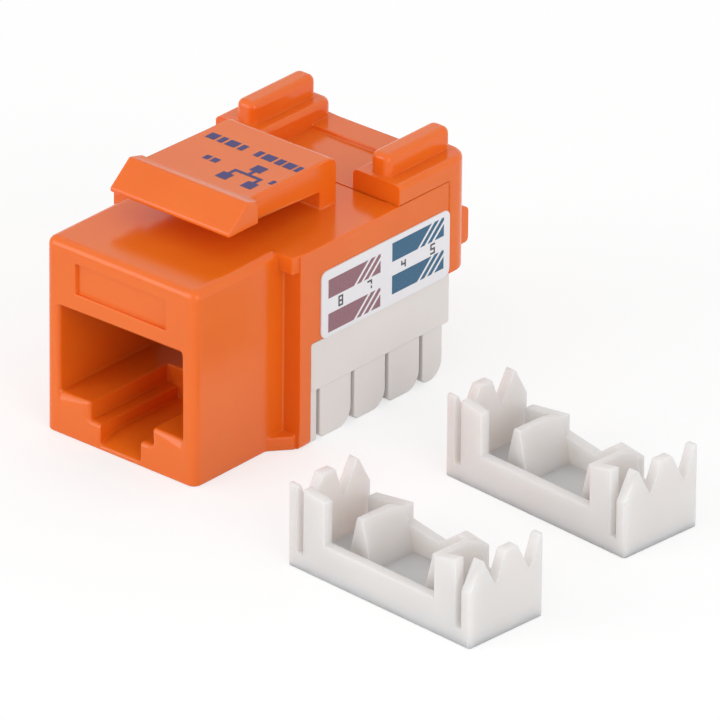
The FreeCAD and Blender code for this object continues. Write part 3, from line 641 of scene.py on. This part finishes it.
@dataclass(frozen=True)
class EdgeRounding:
    """Small rounding on every sharp edge of a moulding, as wide as its neighbours leave room for.

    Attributes:
        width: Rounding outside the zones.
        segments: Facets across a rounding.
        zones: Boxes with a rounding of their own. The first that holds an edge counts.
        least_width: An edge with less room than this stays sharp.
        sharp_angle: Facets that meet at more than this make a sharp edge.
        run_angle: Two sharp edges that turn by less than this run on into each other.
        flat_angle: Facets that meet at no more than this belong to one flat face.
        corner_share: How much of a sharp edge's length a rounding at its end may take.
        side_share: How much of a facet's depth a rounding along it may take.
        weld: Vertices nearer to each other than this become one.
    """

    width: float
    segments: int = 3
    zones: tuple[RoundingZone, ...] = ()
    least_width: float = 0.02 * MM
    sharp_angle: float = math.radians(32)
    run_angle: float = math.radians(35)
    flat_angle: float = math.radians(0.4)
    corner_share: float = 0.45
    side_share: float = 0.9
    weld: float = 0.0005 * MM

    def rounded_copy(self, node: str, name: str) -> bpy.types.Object:
        """Copies a solid and rounds its sharp edges.

        Args:
            node: The solid's name.
            name: The copy's name.

        Returns:
            The copy, as a plain mesh.
        """
        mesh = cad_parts[node].data.copy()
        mesh.name = name
        self._merge_flats(mesh)
        piece = new_object(name, mesh)
        bevel = piece.modifiers.new("edge_rounding", "BEVEL")
        bevel.limit_method = "WEIGHT"
        bevel.width = self.widest()
        bevel.segments = self.segments
        bevel.use_clamp_overlap = False
        bevel.miter_outer = "MITER_ARC"
        bevel.face_strength_mode = "FSTR_ALL"
        shading = piece.modifiers.new("flat_shading", "WEIGHTED_NORMAL")
        shading.mode = "FACE_AREA"
        shading.use_face_influence = True
        shading.keep_sharp = True
        view = bpy.context.evaluated_depsgraph_get()
        rounded = bpy.data.meshes.new_from_object(piece.evaluated_get(view))
        rounded.name = name
        piece.modifiers.clear()
        piece.data = rounded
        bpy.data.meshes.remove(mesh)
        return piece

    def widest(self) -> float:
        """Gives the widest rounding that any edge may have."""
        return max([self.width, *(zone.width for zone in self.zones)])

    def _merge_flats(self, mesh: bpy.types.Mesh) -> None:
        """Welds a solid's facets, joins those of flat faces and weighs the sharp edges.

        Args:
            mesh: The solid's mesh, which is changed.
        """
        solid = bmesh.new()
        solid.from_mesh(mesh)
        bmesh.ops.remove_doubles(solid, verts=solid.verts, dist=self.weld)
        for facets in self._flat_faces(solid):
            if len(facets) == 1:
                continue
            if self._outline_count(facets) == 1:
                bmesh.ops.dissolve_faces(solid, faces=facets)
            else:
                bmesh.ops.beautify_fill(solid, faces=facets, edges=self._seams(facets), method="ANGLE")
        for facets in self._flat_faces(solid):
            self._join_rounds(facets)
        for face in solid.faces:
            face.smooth = True
        self._weigh_edges(solid)
        solid.to_mesh(mesh)
        solid.free()

    def _weigh_edges(self, solid: Solid) -> None:
        """Writes the rounding of each sharp edge as its share of the widest one, and marks the rest.

        Args:
            solid: The solid, with its flat faces joined.
        """
        weight = solid.edges.layers.float.new("bevel_weight_edge")
        sharp = {edge for edge in solid.edges if edge.calc_face_angle(0.0) > self.sharp_angle}
        runs = {vertex: self._run_edges(vertex, sharp) for vertex in solid.verts}
        widths: dict[Edge, float] = {}
        for edge in sharp:
            rooms = [self._room(vertex, edge, runs[vertex], sharp) for vertex in edge.verts]
            widths[edge] = min(self._wanted(edge), *rooms)
        # Edges that run on into each other get one width, so that a rounding has no steps.
        joined = [run for run in runs.values() if run]
        uneven = True
        while uneven:
            uneven = False
            for first, second in joined:
                if widths[first] != widths[second]:
                    widths[first] = widths[second] = min(widths[first], widths[second])
                    uneven = True
        widest = self.widest()
        for edge, width in widths.items():
            edge.smooth = width > self.least_width
            edge[weight] = width / widest if edge.smooth else 0.0

    def _wanted(self, edge: Edge) -> float:
        """Gives the rounding that an edge would have with room enough.

        Args:
            edge: The edge.

        Returns:
            The width in metres.
        """
        for zone in self.zones:
            if all(zone.holds(vertex.co) for vertex in edge.verts):
                return zone.width
        return self.width

    def _run_edges(self, vertex: Vertex, sharp: set[Edge]) -> tuple[Edge, ...]:
        """Finds the two sharp edges that run on into each other at a vertex.

        Args:
            vertex: The vertex.
            sharp: The solid's sharp edges.

        Returns:
            The two edges, or nothing at a corner or an end.
        """
        found = [edge for edge in vertex.link_edges if edge in sharp]
        if len(found) != 2:
            return ()
        first, second = (edge.other_vert(vertex).co - vertex.co for edge in found)
        return tuple(found) if math.pi - first.angle(second) < self.run_angle else ()

    def _room(self, vertex: Vertex, rounded: Edge, run: tuple[Edge, ...], sharp: set[Edge]) -> float:
        """Finds the widest rounding that an edge has room for at one of its ends.

        Args:
            vertex: The end.
            rounded: The edge.
            run: Edges that run on into each other there.
            sharp: The solid's sharp edges.

        Returns:
            The width in metres.
        """
        along = (rounded.other_vert(vertex).co - vertex.co).normalized()
        room = math.inf
        for edge in vertex.link_edges:
            if edge in run:
                continue
            if edge in sharp:
                room = min(room, edge.calc_length() * self.corner_share)
            elif any(face in rounded.link_faces for face in edge.link_faces):
                reach = edge.other_vert(vertex).co - vertex.co
                room = min(room, reach.cross(along).length * self.side_share)
        return room

    def _seams(self, facets: Sequence[Facet]) -> list[Edge]:
        """Lists the edges between a flat face's facets.

        Args:
            facets: The flat face.

        Returns:
            The edges, in the order of the facets.
        """
        inside = set(facets)
        edges = dict.fromkeys(edge for facet in facets for edge in facet.edges)
        return [edge for edge in edges if inside.issuperset(edge.link_faces)]

    def _join_rounds(self, facets: Sequence[Facet]) -> None:
        """Joins a flat face's facets, across short seams first, where that leaves no inward corner.

        Args:
            facets: The flat face.
        """
        for seam in sorted(self._seams(facets), key=lambda edge: edge.calc_length()):
            if seam.is_valid and all(self._turn(vertex, seam) <= math.pi for vertex in seam.verts):
                bmesh.utils.face_join(seam.link_faces)

    def _turn(self, vertex: Vertex, seam: Edge) -> float:
        """Gives the angle of the two facets beside a seam, together, at one of its ends."""
        return sum(loop.calc_angle() for loop in vertex.link_loops if loop.face in seam.link_faces)

    def _flat_faces(self, solid: Solid) -> list[list[Facet]]:
        """Sorts a solid's facets into flat faces.

        Args:
            solid: The solid.

        Returns:
            The facets of each flat face.
        """
        flats: list[list[Facet]] = []
        known: set[Facet] = set()
        for first in solid.faces:
            if first in known:
                continue
            known.add(first)
            facets = [first]
            for facet in facets:
                for edge in facet.edges:
                    if edge.calc_face_angle(math.pi) > self.flat_angle:
                        continue
                    fresh = [face for face in edge.link_faces if face not in known]
                    known.update(fresh)
                    facets.extend(fresh)
            flats.append(facets)
        return flats

    def _outline_count(self, facets: Sequence[Facet]) -> int:
        """Counts the closed outlines of a flat face.

        Args:
            facets: The flat face.

        Returns:
            One, and one more for each hole.
        """
        inside = set(facets)
        rim = {
            edge for facet in facets for edge in facet.edges
            if sum(face in inside for face in edge.link_faces) == 1
        }
        count = 0
        while rim:
            count += 1
            ends = list(rim.pop().verts)
            while ends:
                joined = [edge for edge in ends.pop().link_edges if edge in rim]
                rim.difference_update(joined)
                ends.extend(vertex for edge in joined for vertex in edge.verts)
        return count


class ThinPrint:
    """Flat ink fields, each a thin closed solid on a face of the jack."""

    def __init__(
        self, name: str, origin: Vector, across: Vector, along: Vector, thickness: float,
    ) -> None:
        """Starts a print.

        Args:
            name: Name of the piece.
            origin: Point on the face from which the print's places are measured.
            across: Unit vector of the print's first axis.
            along: Unit vector of the print's second axis.
            thickness: How far the ink stands off the face.
        """
        self.name = name
        self.origin = origin
        self.across = across
        self.along = along
        self.lift = across.cross(along) * thickness
        self.solid = bmesh.new()

    def field(self, outline: Sequence[Point], ink: int = 0) -> None:
        """Adds one field of ink.

        Args:
            outline: Its corners, anticlockwise, in metres on the print's axes.
            ink: Number of its material slot.
        """
        places = [self.origin + self.across * u + self.along * v for u, v in outline]
        low = [self.solid.verts.new(place) for place in places]
        high = [self.solid.verts.new(place + self.lift) for place in places]
        faces = [self.solid.faces.new(high), self.solid.faces.new(list(reversed(low)))]
        count = len(places)
        for index in range(count):
            following = (index + 1) % count
            side = (low[index], low[following], high[following], high[index])
            faces.append(self.solid.faces.new(side))
        for face in faces:
            face.material_index = ink

    def bar(self, left: float, low: float, width: float, height: float, ink: int = 0) -> None:
        """Adds a rectangle."""
        right, high = left + width, low + height
        self.field(((left, low), (right, low), (right, high), (left, high)), ink)

    def piece(self) -> bpy.types.Object:
        """Ends the print and links it to the scene.

        Returns:
            The piece.
        """
        mesh = bpy.data.meshes.new(self.name)
        self.solid.to_mesh(mesh)
        self.solid.free()
        return new_object(self.name, mesh)


@dataclass
class LatchPrint:
    """Blue print on top of the latch: a plain sign of three joined squares, and rows of short bars.

    Attributes:
        spread: How far the squares' middles are from the sign's middle, along each axis.
        row_bars: Left end and width of each bar of the row, in millimetres.
        side_bars: Left end, front edge, width and length of the bars beside the sign, in millimetres.
    """

    level: float = 19.5 * MM
    thickness: float = 0.012 * MM
    sign_place: Point = (2.3 * MM, 11.3 * MM)
    square: float = 1.0 * MM
    spread: float = 1.2 * MM
    line: float = 0.3 * MM
    row_place: float = 13.95 * MM
    row_height: float = 0.9 * MM
    row_bars: tuple[Point, ...] = (
        (-4.2, 0.85), (-3.1, 0.5), (-2.35, 0.95), (-1.15, 0.5), (0.4, 0.5), (1.15, 1.0), (2.4, 0.6),
        (3.2, 0.85), (4.25, 0.4),
    )
    side_bars: tuple[tuple[float, float, float, float], ...] = (
        (-2.05, 11.2, 0.5, 0.65), (-1.35, 11.2, 0.6, 0.65), (4.3, 11.2, 0.35, 0.65),
    )

    def draw_sign(self, ink: ThinPrint) -> None:
        """Draws one square above two, joined by lines.

        Args:
            ink: The print.
        """
        across, along = self.sign_place
        half, thin = self.square / 2, self.line / 2
        middle = self.spread
        ink.bar(across - half, along + middle - half, self.square, self.square)
        ink.bar(across - thin, along + thin, self.line, middle - half - thin)
        ink.bar(across - middle - thin, along - thin, 2 * middle + self.line, self.line)
        for side in (-1, 1):
            place = across + side * middle
            ink.bar(place - thin, along - middle + half, self.line, middle - half - thin)
            ink.bar(place - half, along - middle - half, self.square, self.square)

    def build(self, wardrobe: Wardrobe) -> None:
        """Builds and dresses the print.

        Args:
            wardrobe: The finishes' materials.
        """
        ink = ThinPrint("latch_print", UP * self.level, RIGHT, REARWARD, self.thickness)
        self.draw_sign(ink)
        for left, width in self.row_bars:
            ink.bar(left * MM, self.row_place, width * MM, self.row_height)
        for left, low, width, height in self.side_bars:
            ink.bar(left * MM, low * MM, width * MM, height * MM)
        piece = ink.piece()
        wardrobe.dress(piece, LATCH_INK)
        settle(piece, Slot.ORANGE)


@dataclass
class Housing:
    """Orange mouldings: front housing and rear cover.

    Attributes:
        edge_round: Rounding of their edges.
        port_mouth: Wider rounding where the port opens.
        bare_recess: Tighter rounding at the shallow recess above the port.
    """

    edge_round: float = 0.16 * MM
    port_mouth: RoundingZone = RoundingZone(
        (-6.2 * MM, -0.05 * MM, 0.4 * MM), (6.2 * MM, 0.05 * MM, 10.6 * MM), 0.42 * MM,
    )
    bare_recess: RoundingZone = RoundingZone(
        (-4.5 * MM, -0.05 * MM, 11.7 * MM), (4.5 * MM, 0.4 * MM, 14.45 * MM), 0.05 * MM,
    )

    def build(self, wardrobe: Wardrobe) -> None:
        """Builds and dresses the orange mouldings.

        Args:
            wardrobe: The finishes' materials.
        """
        rounding = EdgeRounding(self.edge_round, zones=(self.port_mouth, self.bare_recess))
        for node in ("front_housing", "rear_cover"):
            piece = rounding.rounded_copy(node, f"{node}_moulding")
            wardrobe.dress(piece, ORANGE_PLASTIC)
            settle(piece, Slot.ORANGE, replaced=node)


@dataclass
class WireBlock:
    """Off-white wire block with its forked contacts."""

    edge_round: float = 0.1 * MM
    edge_segments: int = 2
    contact_count: int = 8

    def build(self, wardrobe: Wardrobe) -> None:
        """Builds and dresses the wire block.

        Args:
            wardrobe: The finishes' materials.
        """
        rounding = EdgeRounding(self.edge_round, self.edge_segments)
        piece = rounding.rounded_copy("idc_block", "wire_block_moulding")
        wardrobe.dress(piece, WIRE_BLOCK_PLASTIC)
        settle(piece, Slot.WIRE_BLOCK, replaced="idc_block")
        for number in range(1, self.contact_count + 1):
            wardrobe.dress_solid(f"idc_contact_{number}", TINNED_CONTACT)


@dataclass
class PortInsert:
    """What the port holds: contact carrier, spring contacts and circuit board."""

    contact_count: int = 8

    def build(self, wardrobe: Wardrobe) -> None:
        """Dresses the insert's solids.

        Args:
            wardrobe: The finishes' materials.
        """
        wardrobe.dress_solid("contact_carrier", CARRIER_PLASTIC)
        wardrobe.dress_solid("circuit_board", BOARD_LAMINATE)
        for number in range(1, self.contact_count + 1):
            wardrobe.dress_solid(f"contact_wire_{number}", GOLD_CONTACT)


class Digit(Enum):
    """Pin numbers on the label, each as the strokes that make it."""

    FOUR = ("left_high", "middle", "right_high", "right_low")
    FIVE = ("top", "left_high", "middle", "right_low", "base")
    SEVEN = ("top", "right_high", "right_low")
    EIGHT = ("top", "left_high", "right_high", "middle", "left_low", "right_low", "base")


class LabelInk(Enum):
    """Inks of the label, in the order of its print's material slots."""

    MAUVE = 0
    BLUE = 1
    DARK = 2


@dataclass
class SideLabel:
    """Wiring label on the right side wall: film, colour fields with slanted gaps, and pin numbers.

    Attributes:
        gaps: Where a field's gaps start at its lower edge, from its front end.
        gap_slant: How far a gap leans back over the field's height.
        fields: Front end, lower edge and ink of each field, the places in millimetres.
        digits: Front end, lower edge and value of each pin number, the places in millimetres.
    """

    thickness: float = 0.012 * MM
    field_length: float = 5.75 * MM
    field_height: float = 1.5 * MM
    gaps: tuple[float, ...] = (2.8 * MM, 3.6 * MM, 4.4 * MM)
    gap_width: float = 0.33 * MM
    gap_slant: float = 1.6 * MM
    digit_width: float = 0.52 * MM
    digit_height: float = 0.86 * MM
    digit_stroke: float = 0.14 * MM
    fields: tuple[tuple[float, float, LabelInk], ...] = (
        (12.55, 8.5, LabelInk.MAUVE), (12.55, 11.25, LabelInk.MAUVE),
        (19.6, 8.95, LabelInk.BLUE), (19.6, 11.6, LabelInk.BLUE),
    )
    digits: tuple[tuple[float, float, Digit], ...] = (
        (13.65, 10.2, Digit.EIGHT), (16.85, 10.2, Digit.SEVEN), (20.6, 10.57, Digit.FOUR),
        (23.85, 10.57, Digit.FIVE),
    )

    def draw_field(self, ink: ThinPrint, left: float, low: float, colour: LabelInk) -> None:
        """Draws one field of colour, cut by slanted gaps.

        Args:
            ink: The print.
            left: Front end of the field.
            low: Lower edge of the field.
            colour: Its ink.
        """
        high = low + self.field_height
        right = left + self.field_length
        slant = self.gap_slant
        starts = [left - slant, *(left + gap + self.gap_width for gap in self.gaps)]
        ends = [*(left + gap for gap in self.gaps), right]
        for start, end in zip(starts, ends):
            outline = ((start, low), (end, low), (end + slant, high), (start + slant, high))
            ink.field(self.cut_across(self.cut_across(outline, right, 1), left, -1), colour.value)

    def cut_across(self, outline: Sequence[Point], limit: float, side: int) -> list[Point]:
        """Cuts an outline off along a line across it.

        Args:
            outline: Its corners.
            limit: Where the line crosses the print's first axis.
            side: 1 to cut off what lies past the line, -1 to cut off what lies before it.

        Returns:
            The corners of what is left.
        """
        kept: list[Point] = []
        for (place, level), (next_place, next_level) in zip(outline, (*outline[1:], outline[0])):
            past, next_past = (place - limit) * side, (next_place - limit) * side
            if past <= 0:
                kept.append((place, level))
            if past * next_past < 0:
                share = past / (past - next_past)
                kept.append((limit, level + (next_level - level) * share))
        return kept

    def draw_digit(self, ink: ThinPrint, left: float, low: float, digit: Digit) -> None:
        """Draws one pin number from straight strokes.

        Args:
            ink: The print.
            left: Its front end.
            low: Its lower edge.
            digit: The number.
        """
        stroke = self.digit_stroke
        inner = self.digit_width - stroke
        half = (self.digit_height - 3 * stroke) / 2
        middle = stroke + half
        upper = middle + stroke
        bars = {
            "base": (0.0, 0.0, self.digit_width, stroke),
            "middle": (0.0, middle, self.digit_width, stroke),
            "top": (0.0, upper + half, self.digit_width, stroke),
            "left_low": (0.0, stroke, stroke, half),
            "left_high": (0.0, upper, stroke, half),
            "right_low": (inner, stroke, stroke, half),
            "right_high": (inner, upper, stroke, half),
        }
        for name in digit.value:
            across, along, width, height = bars[name]
            ink.bar(left + across, low + along, width, height, LabelInk.DARK.value)

    def build(self, wardrobe: Wardrobe) -> None:
        """Dresses the film, and builds and dresses its print.

        Args:
            wardrobe: The finishes' materials.
        """
        wardrobe.dress_solid("side_label", LABEL_FILM)
        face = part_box("side_label")[1][0]
        ink = ThinPrint("label_print", RIGHT * face, REARWARD, UP, self.thickness)
        for left, low, colour in self.fields:
            self.draw_field(ink, left * MM, low * MM, colour)
        for left, low, digit in self.digits:
            self.draw_digit(ink, left * MM, low * MM, digit)
        piece = ink.piece()
        wardrobe.dress(piece, MAUVE_INK, BLUE_INK, DARK_INK)
        settle(piece, Slot.LABEL)


@dataclass
class WireCap:
    """One loose wire cap."""

    node: str
    edge_round: float = 0.1 * MM
    edge_segments: int = 2

    def build(self, wardrobe: Wardrobe) -> None:
        """Builds and dresses the cap.

        Args:
            wardrobe: The finishes' materials.
        """
        rounding = EdgeRounding(self.edge_round, self.edge_segments)
        piece = rounding.rounded_copy(self.node, f"{self.node}_moulding")
        wardrobe.dress(piece, CAP_PLASTIC)
        settle(piece, Slot.CAP, replaced=self.node)


@dataclass(frozen=True)
class Softbox:
    """Square lamp that faces the jack.

    Attributes:
        name: Name of the lamp.
        place: Where it hangs, in metres.
        power: Its power in watts.
        size: Length of its side in metres.
    """

    name: str
    place: Place
    power: float
    size: float = 0.5

    def hang(self) -> None:
        """Adds the lamp to the scene."""
        data = bpy.data.lights.new(self.name, "AREA")
        data.shape = "SQUARE"
        data.size = self.size
        data.energy = self.power
        lamp = new_object(self.name, data)
        lamp.location = self.place
        lamp.rotation_euler = (-Vector(self.place)).to_track_quat("-Z", "Y").to_euler()


@dataclass
class Studio:
    """Pale floor, soft light and the camera.

    Attributes:
        pivot: Point in the jack that the camera stands off from.
        aim_right: How far to the right of the pivot it is aimed.
        aim_down: How far below the pivot it is aimed.
        near_limit: Nothing nearer to the camera than this is seen.
        floor_tone: Colour of the floor where it throws light on the jack.
        seen_floor_tone: Colour of the floor where it is seen, without its lift.
        floor_lift: Light added to the floor where it is seen.
        sky_level: Strength of the world as a light.
    """

    azimuth: float = math.radians(41.19)
    elevation: float = math.radians(26.73)
    roll: float = math.radians(0.29)
    distance: float = 1000 * MM
    pivot: Place = (0.0, 14 * MM, 8 * MM)
    aim_right: float = 8.16 * MM
    aim_down: float = 4.74 * MM
    lens_mm: float = 686.3
    sensor_mm: float = 36.0
    near_limit: float = 10 * MM
    floor_size: float = 3.0
    floor_drop: float = 0.02 * MM
    floor_tone: Colour = (0.8, 0.8, 0.8, 1.0)
    seen_floor_tone: Colour = (0.42, 0.42, 0.42, 1.0)
    floor_lift: float = 0.62
    sky_tone: Colour = (1.0, 1.0, 1.0, 1.0)
    sky_level: float = 0.76
    softboxes: tuple[Softbox, ...] = (
        Softbox("front_softbox", place=(-0.3, -0.62, 0.2), power=1.7),
        Softbox("right_softbox", place=(0.66, -0.2, 0.22), power=1.5),
    )

    def directions(self) -> tuple[Vector, Vector, Vector]:
        """Works out how the camera is turned.

        Returns:
            Its right, up and backward directions.
        """
        level = math.cos(self.elevation)
        right = Vector((math.cos(self.azimuth), math.sin(self.azimuth), 0.0))
        back = Vector((
            math.sin(self.azimuth) * level, -math.cos(self.azimuth) * level, math.sin(self.elevation),
        ))
        up = back.cross(right)
        tilt = math.cos(self.roll)
        lean = math.sin(self.roll)
        return right * tilt + up * lean, up * tilt - right * lean, back

    def add_camera(self) -> None:
        """Places the camera at the photograph's viewing angle."""
        right, up, back = self.directions()
        pivot = Vector(self.pivot)
        place = pivot + back * self.distance
        target = pivot + right * self.aim_right - up * self.aim_down
        backward = (place - target).normalized()
        upward = backward.cross(right).normalized()
        sideways = upward.cross(backward)
        data = bpy.data.cameras.new("camera")
        data.lens = self.lens_mm
        data.sensor_width = self.sensor_mm
        data.sensor_fit = "HORIZONTAL"
        data.clip_start = self.near_limit
        camera = new_object("camera", data)
        camera.location = place
        camera.rotation_euler = Matrix((sideways, upward, backward)).transposed().to_euler()
        bpy.context.scene.camera = camera

    def seen_share(self, canvas: NodeCanvas) -> Socket:
        """Picks out the rays that show a surface, and not those that light the jack.

        Args:
            canvas: Canvas on the nodes of the floor or the world.

        Returns:
            One for rays from the camera, and for reflections and views through clear pieces.
        """
        rays = canvas.add("ShaderNodeLightPath").outputs
        first = canvas.math("MAXIMUM", rays["Is Camera Ray"], rays["Is Glossy Ray"])
        return canvas.math("MAXIMUM", first, rays["Is Transmission Ray"])

    def add_floor(self) -> None:
        """Lays the pale floor, lifted to white where it is seen."""
        half = self.floor_size / 2
        mesh = bpy.data.meshes.new("floor")
        corners = ((-half, -half), (half, -half), (half, half), (-half, half))
        mesh.from_pydata([(x, y, -self.floor_drop) for x, y in corners], [], [(0, 1, 2, 3)])
        floor = new_object("floor", mesh)
        material, canvas = blank_material("floor")
        matt = canvas.add("ShaderNodeBsdfDiffuse")
        matt.inputs["Color"].default_value = self.floor_tone
        seen_matt = canvas.add("ShaderNodeBsdfDiffuse")
        seen_matt.inputs["Color"].default_value = self.seen_floor_tone
        lift = canvas.add("ShaderNodeEmission")
        lift.inputs["Strength"].default_value = self.floor_lift
        seen = canvas.add("ShaderNodeAddShader")
        canvas.join(seen_matt.outputs[0], seen.inputs[0])
        canvas.join(lift.outputs[0], seen.inputs[1])
        either = canvas.add("ShaderNodeMixShader")
        canvas.join(self.seen_share(canvas), either.inputs["Fac"])
        canvas.join(matt.outputs[0], either.inputs[1])
        canvas.join(seen.outputs[0], either.inputs[2])
        output = canvas.add("ShaderNodeOutputMaterial")
        canvas.join(either.outputs[0], output.inputs["Surface"])
        mesh.materials.append(material)

    def add_sky(self) -> None:
        """Sets an even white world, a little dimmer as a light than as a background."""
        world = bpy.data.worlds.new("studio")
        world.use_nodes = True
        world.node_tree.nodes.clear()
        canvas = NodeCanvas(world.node_tree)
        background = canvas.add("ShaderNodeBackground")
        background.inputs["Color"].default_value = self.sky_tone
        seen = canvas.math("MULTIPLY", self.seen_share(canvas), 1.0 - self.sky_level)
        canvas.join(canvas.math("ADD", seen, self.sky_level), background.inputs["Strength"])
        output = canvas.add("ShaderNodeOutputWorld")
        canvas.join(background.outputs[0], output.inputs["Surface"])
        bpy.context.scene.world = world

    def build(self) -> None:
        """Sets up camera, floor, world and lamps."""
        bpy.context.scene.view_settings.view_transform = "Standard"
        self.add_camera()
        self.add_floor()
        self.add_sky()
        for softbox in self.softboxes:
            softbox.hang()


def main() -> None:
    """Builds the pieces in order."""
    logging.basicConfig(level=logging.INFO, format="%(message)s")
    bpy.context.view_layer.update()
    wardrobe = Wardrobe()
    assemblies: tuple[Assembly, ...] = (
        Housing(), LatchPrint(), WireBlock(), PortInsert(), SideLabel(),
        WireCap("wire_cap_front"), WireCap("wire_cap_rear"),
    )
    for assembly in assemblies:
        assembly.build(wardrobe)
    Studio().build()


if __name__ == "__main__":
    main()
